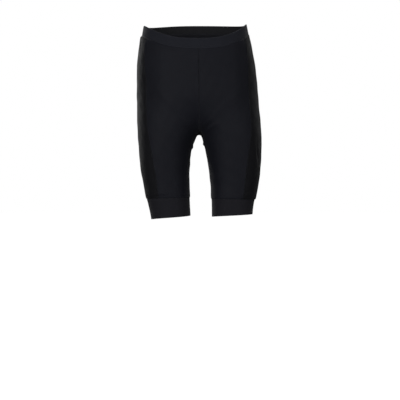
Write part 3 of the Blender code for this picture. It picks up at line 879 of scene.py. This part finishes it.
# Flat seams
# The panels' raw edges meet edge to edge, and a flatlock machine sews over them in black nylon: two
# rows of needle stitches, and a looper thread that zigzags between them, so the seam lies flat.
STITCH_LENGTH = 0.0022
NEEDLE_ROW = 0.0024
THREAD_RADIUS = 0.00017
THREAD_SIDES = 4
PLY_LENGTH = 0.0006
PLY_WIDTH = 0.0004
LOOPER_ZIGZAG = 0.0014
LOOPER_SLANT = 0.6
LOOPER_SPACING = 0.0008
CAST_FROM = 0.004
CAST_REACH = 0.010
NET_THICKNESS = 0.0003

# Points across the net: how far from the seam's line, and how deep under the cloth's face
FLAT_SEAM_NET = ((-0.0028, KNIT_THICKNESS), (0.0, KNIT_THICKNESS + 0.0001), (0.0028, KNIT_THICKNESS))
# Points of one stitch along its row: the share of the stitch, and the thread's height over the cloth
NEEDLE_STITCH = ((0.04, -0.00045), (0.14, 0.00008), (0.50, 0.00020), (0.86, 0.00008), (0.96, -0.00045))
# Points of one turn of the looper thread: the share of the turn, and how far across, from -1 to 1
LOOPER_TURN = ((0.0, -1.0), (0.17, -0.36), (0.33, 0.36), (0.5, 1.0), (0.67, 0.36), (0.83, -0.36))
LOOPER_LIFT = 0.00026


# A finish that follows one pattern, which raises the surface and paints shade into the colour by a
# share from a base: painted shade in the pattern's grooves and a painted highlight on its crests
Finish = namedtuple("Finish", "specular sheen shade base patch patches dull_patch dullness bump")
THREAD_FINISH = Finish(
    specular=0.14, sheen=0.02, shade=0.12, base=0.95, patch=0.003, patches=(0.80, 1.20),
    dull_patch=0.008, dullness=(0.42, 0.58), bump=(0.00005, 0.5))
NET_FINISH = Finish(
    specular=0.10, sheen=0.02, shade=0.20, base=0.90, patch=0.004, patches=(0.85, 1.15),
    dull_patch=0.006, dullness=(0.60, 0.75), bump=(0.00015, 0.6))


def patterned_material(name, colour, make_pattern, finish):
    """A material whose pattern, from -1 to 1, is made from places across and along the cloth."""
    shading = Shading(name, {"Specular IOR Level": finish.specular, "Sheen Weight": finish.sheen})
    pattern = make_pattern(shading, *shading.places())
    # Painted shade in the pattern's grooves and a painted highlight on its crests
    shade = shading.maths("MULTIPLY_ADD", pattern, finish.shade, finish.base)
    tone = shading.varied(finish.patch, *finish.patches, shade)
    dullness = shading.varied(finish.dull_patch, *finish.dullness)
    return shading.finished(colour, tone, dullness, shading.bump(pattern, *finish.bump))


def stripes(shading, value, spacing):
    """Soft stripes from -1 to 1 as a value in metres grows."""
    return shading.maths("SINE", shading.maths("MULTIPLY", value, 2 * math.pi / spacing))


def twisted_plies(shading, around, along):
    """Plies of twisted thread, which slant round it."""
    slanted = shading.maths("MULTIPLY_ADD", around, PLY_LENGTH / PLY_WIDTH, along)
    return stripes(shading, slanted, PLY_LENGTH)


def looper_threads(shading, along, across):
    """Threads side by side, crossing the seam in a close zigzag."""
    zigzag = shading.maths("PINGPONG", across, LOOPER_ZIGZAG)
    return stripes(shading, shading.maths("MULTIPLY_ADD", zigzag, LOOPER_SLANT, along), LOOPER_SPACING)


def laid_on(cloth, points, upward):
    """The points moved square to the cloth until they lie on its face."""
    laid = points.copy()
    for i, (point, normal) in enumerate(zip(points, upward)):
        hit = cloth.ray_cast(Vector(point + normal * CAST_FROM), Vector(-normal), CAST_REACH)[0]
        if hit is not None:
            laid[i] = hit
    return laid


def looper_net(name, line, normals, cloth, section, material, closed=False):
    """The flat net of looper thread that covers a seam's raw edges inside, from its section."""
    ends = slice(0, 1 if closed else 0)
    along = lengths_along(np.concatenate([line, line[ends]]))
    across = unit(np.cross(normals, np.gradient(line, axis=0)))
    rows = [laid_on(cloth, line + across * offset, normals) - normals * depth
            for offset, depth in section]
    rows += [row - normals * NET_THICKNESS for row in rows[::-1]]
    around = lengths_along(np.array(rows + rows[:1])[:, len(line) // 2])
    places = np.stack(np.meshgrid(along, around), axis=-1)
    piece = cloth_object(name, np.array(rows), places, True, [material], closed, True)
    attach(piece, "root")
    return piece


def thread_points(line, normals, cloth, turns, pattern):
    """A thread's path along a line on the cloth, from each point's share, offset across and lift."""
    along = lengths_along(line)
    count = max(1, round(along[-1] / turns))
    shares, offsets, lifts = np.array(pattern).T
    places = (np.arange(count)[:, None] + shares).ravel() / count * along[-1]
    points = at_length(line, places)
    upward = unit(np.stack([np.interp(places, along, part) for part in normals.T], axis=-1))
    across = unit(np.cross(upward, np.gradient(points, axis=0)))
    points = laid_on(cloth, points + across * np.tile(offsets, count)[:, None], upward)
    return points + upward * np.tile(lifts, count)[:, None], upward


def thread_object(name, paths, material):
    """One mesh of thin threads, each a tube round its path."""
    verts, faces, uvs = [], [], []
    angles = 2 * math.pi * np.arange(THREAD_SIDES) / THREAD_SIDES
    for points, upward in paths:
        across = unit(np.cross(upward, np.gradient(points, axis=0)))
        lift = unit(np.cross(np.gradient(points, axis=0), across))
        around = np.cos(angles)[:, None] * across[:, None] + np.sin(angles)[:, None] * lift[:, None]
        rings = points[:, None] + THREAD_RADIUS * around
        first = sum(len(ring) for ring in verts)
        verts.append(rings.reshape(-1, 3))
        i, j = grid_cells(len(points) - 1, THREAD_SIDES)
        corners = [(i, j), (i, j + 1), (i + 1, j + 1), (i + 1, j)]
        walls = [a * THREAD_SIDES + b % THREAD_SIDES for a, b in corners]
        faces.append(first + np.stack(walls, axis=1))
        along = lengths_along(points)
        side_width = THREAD_RADIUS * 2 * math.pi / THREAD_SIDES
        places = [np.stack([b * side_width, along[a]], axis=-1) for a, b in corners]
        uvs.append(np.stack(places, axis=1))
        last = first + (len(points) - 1) * THREAD_SIDES
        faces.append(np.array([[first + k for k in reversed(range(THREAD_SIDES))],
                               [last + k for k in range(THREAD_SIDES)]]))
        uvs.append(np.zeros((2, THREAD_SIDES, 2)))
    verts, faces, uvs = [np.concatenate(part) for part in (verts, faces, uvs)]
    piece = mesh_object(name, verts, faces, uvs, [material])
    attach(piece, "root")
    return piece


def cloth_tree(grids):
    """The faces of several grids of points, for threads to be laid on."""
    verts, faces = [], []
    for grid in grids:
        rows, columns = grid.shape[:2]
        i, j = grid_cells(rows - 1, columns - 1)
        start = len(verts) + i * columns + j
        verts.extend(map(Vector, grid.reshape(-1, 3)))
        below = start + columns
        faces.extend(np.stack([start, below, below + 1, start + 1], axis=1).tolist())
    return BVHTree.FromPolygons(verts, faces)


def needle_row(offset):
    return [(share, offset, lift) for share, lift in NEEDLE_STITCH]


def flat_seam(name, line, normals, cloth):
    """Two rows of needle stitches and the looper thread over a seam, and the looper's net inside."""
    looper = [(share, across * NEEDLE_ROW, LOOPER_LIFT) for share, across in LOOPER_TURN]
    paths = [thread_points(line, normals, cloth, STITCH_LENGTH, pattern)
             for pattern in (looper, needle_row(NEEDLE_ROW), needle_row(-NEEDLE_ROW))]
    thread_object(name, paths, seam_thread)
    looper_net(name + "_net", line, normals, cloth, FLAT_SEAM_NET, seam_net)


# The seam thread is paler than the knit: black nylon, lifted by painted light that evens out the shade
# in the seam's groove and between its stitches
THREAD_BLACK_AND_PAINTED_LIGHT = (0.0135, 0.0141, 0.0178)
NET_BLACK = (0.0120, 0.0125, 0.0160)
seam_thread = patterned_material("black_seam_thread_painted_light", THREAD_BLACK_AND_PAINTED_LIGHT, twisted_plies, THREAD_FINISH)
seam_net = patterned_material("black_looper_net", NET_BLACK, looper_threads, NET_FINISH)
panel_tree = cloth_tree([cloth.face for cloth in panels.values()])
for half in halves:
    front, side = panels["front", half.name], panels["side", half.name]
    on_leg = front.levels >= FORK
    for kind, cloth in (("front_side", front), ("back_side", side)):
        flat_seam(f"{kind}_seam_{half.name}", cloth.lines[kind], cloth.normals[:, -1], panel_tree)
    inner_line, inner_normals = front.lines["front"][on_leg], front.normals[on_leg, 0]
    flat_seam(f"inner_leg_seam_{half.name}", inner_line, inner_normals, panel_tree)
above_fork = panels["front", "left"].levels <= FORK
for kind, end in (("front", 0), ("back", -1)):
    cloth = panels[kind, "left"]
    line, normals = cloth.lines[kind][above_fork], cloth.normals[above_fork, end]
    flat_seam(f"centre_{kind}_seam", line, normals, panel_tree)

# Waistband
# A wide soft elastic inside a folded strip of the same knit, closed into a ring and sewn on
# stretched, so that it gathers a little. Its fold is the waist's upper edge, and the elastic's
# ribbed back shows inside.
WAISTBAND_THICKNESS = 0.0024
BAND_SHARES = np.linspace(0, 1, 231)
BAND_STEPS = (0.0, 0.00008, 0.0003, 0.0006, 0.0009, 0.0012, 0.0020, 0.0035)
BAND_STEP = 0.0022
SEAM_FOLD_SHARE = 0.5

# The gathers start below the fold, and are highest by the seam. Away from it, and on the back of
# the band, they keep only a share of their rise.
GATHER_RISE = 0.00040
GATHER_LENGTHS = (0.0047, 0.0071, 0.0113)
GATHER_SHIFT = 700
GATHER_FROM_FOLD = 0.004
GATHER_REACH = 0.006
GATHER_AWAY = 0.35
BACK_GATHER_SHARE = 0.6

# The cloth is paler at the fold and, less, at the seam
FOLD_PALE_REACH = 0.0025
SEAM_PALE_SHARE = 0.8
SEAM_PALE_REACH = 0.004
BAND_KNIT = Knit(
    specular=0.07, sheen=0.025, sheen_roughness=0.60, wale=0.8 * WALE,
    patch=0.030, patches=(0.90, 1.10), yarns=(0.88, 1.12), loops=(0.80, 1.10),
    wear_patch=0.003, wear=1.30, dull_patch=0.012, dullness=0.06, rubbed_dullness=0.0,
    loop_bump=(0.00012, 0.75), lump=0.004, lump_bump=(0.00022, 0.55))
CORD_SPACING = 0.0019
CORD_SHARE = 0.7
COVER_YARN = 0.0008
ELASTIC_FINISH = Finish(
    specular=0.10, sheen=0.03, shade=0.15, base=0.95, patch=0.012, patches=(0.88, 1.12),
    dull_patch=0.006, dullness=(0.70, 0.84), bump=(0.00022, 0.6))


def ring_cloth(make_patch):
    """Joins the two halves of a ring that goes round the waist."""
    left, right = [make_patch(half) for half in halves]
    return [np.concatenate([a, b[:, -2:0:-1]], axis=1) for a, b in zip(left, right)]


def band_places(height):
    """Places down a band from its fold, closer together at the fold and at the seam."""
    fold = np.array(BAND_STEPS)
    middle = np.linspace(fold[-1], height - fold[-1], round(height / BAND_STEP))[1:-1]
    return np.concatenate([fold, middle, height - fold[::-1]])


def fold_depth(place, radius):
    """How far in a folded band's face lies at a distance from its fold."""
    from_axis = radius - np.minimum(place, radius)
    return (radius - np.sqrt(np.clip(radius ** 2 - from_axis ** 2, 0.0, None)))[:, None]


def fading(distance, reach):
    """A column of shares, 1 at no distance and less beyond the reach."""
    return np.exp(-(distance / reach) ** 2)[:, None]


Band = namedtuple("Band", "face grid normals places height thickness")


def folded_band(name, grid, normals, place, height, thickness, flip, materials, gathers):
    """A closed ring: its face from the fold down to the seam, and its back up to the fold again."""
    round_it = lengths_along(grid)
    total = round_it[:, -1:] + np.linalg.norm(grid[:, :1] - grid[:, -1:], axis=-1)
    radius = thickness / 2
    inwards = fold_depth(place, radius) + fold_depth(height - place, radius * SEAM_FOLD_SHARE)
    gathered = GATHER_AWAY + (1 - GATHER_AWAY) * fading(height - place, GATHER_REACH)
    waves = gathers * uneven_waves(round_it, GATHER_LENGTHS, GATHER_SHIFT) * gathered
    waves *= smooth_step(place, 0.0, GATHER_FROM_FOLD)[:, None]
    face = grid + normals * (waves - inwards)[..., None]
    back = grid + normals * (BACK_GATHER_SHARE * waves - thickness + inwards)[..., None]
    points = np.concatenate([face, back[::-1]])
    across = np.linspace(0, total.mean(), grid.shape[1] + 1)
    down = np.concatenate([place, 2 * height - place[::-1], [2 * height]])
    places = np.stack(np.meshgrid(across, -down), axis=-1)
    piece = cloth_object(name, points, places, flip, materials, True, True)
    edge = fading(place, FOLD_PALE_REACH)
    edge = edge + SEAM_PALE_SHARE * fading(height - place, SEAM_PALE_REACH)
    edge = np.broadcast_to(np.clip(edge, 0.0, 1.0), grid.shape[:2])
    note_on(piece, "near_seam", np.concatenate([edge, edge[::-1]]))
    inside = np.repeat(np.arange(len(points)) >= len(place), grid.shape[1])
    piece.data.polygons.foreach_set("material_index", inside.astype(np.int32) * (len(materials) - 1))
    return piece, Band(face, grid, normals, place, height, thickness)


def elastic_cords(shading, across, along):
    """Cords that run round the elastic's back, crossed by fine covering yarn."""
    yarn = shading.maths("MULTIPLY", stripes(shading, across, COVER_YARN), 1 - CORD_SHARE)
    return shading.maths("MULTIPLY_ADD", stripes(shading, along, CORD_SPACING), CORD_SHARE, yarn)


def waist_patch(half):
    """The face of one half of the waistband, from the fold at level 0 to the seam at level 1."""
    levels = WAIST_SEAM * waist_places / WAISTBAND_HEIGHT
    levels[-1] -= 0.5 * SEAM_GAP / WAISTBAND_HEIGHT
    return settled(half.patch(levels, "front", "back", BAND_SHARES)[0])


WAISTBAND_KNIT = (0.0131, 0.0140, 0.0193)
ELASTIC_BLACK = (0.0110, 0.0112, 0.0130)
band_knit = knit_material("black_waistband_knit", WAISTBAND_KNIT, 0.74, BAND_KNIT)
elastic = patterned_material("black_elastic", ELASTIC_BLACK, elastic_cords, ELASTIC_FINISH)
waist_places = band_places(WAISTBAND_HEIGHT)
waistband, waist_cloth = folded_band(
    "waistband_folded", *ring_cloth(waist_patch), waist_places, WAISTBAND_HEIGHT,
    WAISTBAND_THICKNESS, False, (band_knit, elastic), GATHER_RISE)
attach(waistband, "root")
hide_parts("waistband")

# Leg bands
# A folded strip of firm knit round each thigh, which grips the leg. Its fold is the hem, and a
# seam with cover stitching joins it to the panels above.
LEG_BAND_THICKNESS = 0.0020
LEG_GATHER_RISE = 0.00024
LEG_BAND_KNIT = (0.0117, 0.0115, 0.0150)


def leg_patch(half, places, height):
    """The face of one leg band, from the hem's fold at level 4 up to the seam at level 3."""
    levels = HEM - places / height
    levels[-1] += 0.5 * SEAM_GAP / height
    grid, normals = settled(half.patch(levels, "front", "back", BAND_SHARES)[0])
    return grid[:, :-1], normals[:, :-1]


leg_cloths = {}
leg_knit = knit_material("black_leg_band_knit", LEG_BAND_KNIT, 0.70, BAND_KNIT)
for half in halves:
    height = LEVELS[half.name][LEG_SEAM].front - LEVELS[half.name][HEM].front
    places = band_places(height)
    leg_band, leg_cloths[half.name] = folded_band(
        f"leg_band_{half.name}_folded", *leg_patch(half, places, height), places, height,
        LEG_BAND_THICKNESS, half.sign > 0, (leg_knit,), LEG_GATHER_RISE)
    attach(leg_band, "root")
    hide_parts(f"leg_band_{half.name}")

# Cover stitching
# Two rows of needle stitches of the same black nylon in each band, just beyond the seam that joins
# it to the panels. They hold the folded strip's raw edges down on the inside.
COVER_ROWS = (0.0016, 0.0052)
COVER_STITCH_LENGTH = 0.0026
COVER_NET = (0.0060, 0.0030, 0.0008, -0.0008, -0.0030)


def closed_ring(points):
    return np.concatenate([points, points[:, :1]], axis=1)


def cover_rows(name, band):
    """Rows of stitches round a band at distances from its seam, and the looper net behind the seam."""
    ring, ring_normals = closed_ring(band.face), closed_ring(band.normals)
    rows = [np.argmin(np.abs(band.places - (band.height - row))) for row in COVER_ROWS]
    tree = cloth_tree([ring])
    paths = [thread_points(ring[i], ring_normals[i], tree, COVER_STITCH_LENGTH, needle_row(0.0))
             for i in rows]
    thread_object(name, paths, seam_thread)
    tree = cloth_tree([ring] + [cloth.face for cloth in panels.values()])
    line, normals = band.grid[-1], band.normals[-1]
    outward = unit(np.mean(band.grid[-2] - line, axis=0))
    across = np.cross(normals, np.gradient(line, axis=0))
    sense = 1.0 if np.sum(across @ outward) > 0 else -1.0
    section = [(sense * offset, band.thickness if offset > 0 else KNIT_THICKNESS)
               for offset in COVER_NET]
    net = looper_net(name + "_net", line, normals, tree, section, seam_net, closed=True)


cover_rows("waist_cover_stitching", waist_cloth)
for half in halves:
    cover_rows(f"leg_cover_stitching_{half.name}", leg_cloths[half.name])

# Studio
# A wide pale floor and a white surround. Two broad soft lights stand in front, two small ones draw
# the outer edges, and two large ones hang high behind.
FLOOR_HEIGHT = -1.036
FLOOR_HALF_WIDTH = 40.0
FLOOR_TONE = (0.93, 0.93, 0.93)
SHORTS_MIDDLE = (0.0, 0.0, -0.27)
CAMERA_PLACE = (0.0084, -3.0, -0.489)
CAMERA_LENS = 96.4

floor_data = bpy.data.meshes.new("floor")
floor_corners = [(x * FLOOR_HALF_WIDTH, y * FLOOR_HALF_WIDTH, FLOOR_HEIGHT)
                 for x, y in ((-1, -1), (1, -1), (1, 1), (-1, 1))]
floor_data.from_pydata(floor_corners, [], [(0, 1, 2, 3)])
floor_shading = Shading("pale_floor", {
    "Roughness": 0.9, "Specular IOR Level": 0.1, "Emission Strength": 0.87,
    "Emission Color": (1.0, 1.0, 1.0, 1.0)})
floor_colour = floor_shading.scaled(FLOOR_TONE, floor_shading.varied(0.4, 0.98, 1.0))
floor_shading.feed(floor_shading.shader.inputs["Base Color"], floor_colour)
floor_data.materials.append(floor_shading.material)
floor = new_object("floor", floor_data)
floor.visible_diffuse = False
floor.visible_glossy = False


def studio_world(name, front, sides, behind, below):
    """A white surround. The camera sees it plain white. The light that it gives is dimmer at the
    sides and from below, as between the dark boards that a studio sets beside black cloth."""
    world = bpy.data.worlds.new(name)
    nodes = Nodes(world)
    seen = nodes.tree.nodes["Background"]
    seen.inputs["Color"].default_value = (1.0, 1.0, 1.0, 1.0)
    towards = nodes.node("SeparateXYZ", {0: nodes.node("TexCoord").outputs["Generated"]}).outputs
    along = nodes.node("FloatCurve", {"Value": nodes.ranged(towards["Y"], 0.0, 1.0, start=-1.0)})
    curve = along.mapping.curves[0]
    curve.points[0].location = (0.0, front)
    curve.points[-1].location = (1.0, behind)
    for at, strength in ((0.28, sides), (0.62, sides), (0.85, behind)):
        curve.points.new(at, strength)
    along.mapping.update()
    height = nodes.ranged(towards["Z"], below, 1.0, start=-0.4, end=0.2)
    given = nodes.node("Background", {"Strength": nodes.maths("MULTIPLY", along.outputs[0], height)})
    camera_ray = nodes.node("LightPath").outputs["Is Camera Ray"]
    both = nodes.node("MixShader", {0: camera_ray, 1: given.outputs[0], 2: seen.outputs[0]})
    nodes.tree.links.new(both.outputs[0], nodes.tree.nodes["World Output"].inputs["Surface"])
    return world


bpy.context.scene.world = studio_world("white_studio", front=0.45, sides=0.20, behind=0.17, below=0.6)
bpy.context.scene.view_settings.view_transform = "Standard"

SOFT_LIGHTS = named_rows(
    "name place size power",
    ("front_left_light", (-1.9, -3.0, 0.2), 1.8, 63.0),
    ("front_right_light", (2.0, -2.9, 0.1), 1.6, 36.0),
    ("rim_left_light", (-2.1, 2.6, 0.4), 1.0, 20.0),
    ("rim_right_light", (2.1, 2.6, 0.4), 1.0, 5.0),
    ("high_back_left_light", (-1.2, 2.4, 2.6), 2.2, 62.0),
    ("high_back_right_light", (1.4, 2.2, 2.4), 2.0, 44.0),
)
for light in SOFT_LIGHTS:
    light_data = bpy.data.lights.new(light.name, "AREA")
    light_data.shape = "DISK"
    light_data.size = light.size
    light_data.energy = light.power
    lamp = new_object(light.name, light_data)
    lamp.location = light.place
    to_shorts = Vector(SHORTS_MIDDLE) - lamp.location
    lamp.rotation_euler = to_shorts.to_track_quat("-Z", "Y").to_euler()
    lamp.visible_camera = False

camera_data = bpy.data.cameras.new("camera")
camera_data.lens = CAMERA_LENS
camera = new_object("camera", camera_data)
camera.location = CAMERA_PLACE
camera.rotation_euler = (math.radians(90), 0.0, 0.0)
bpy.context.scene.camera = camera
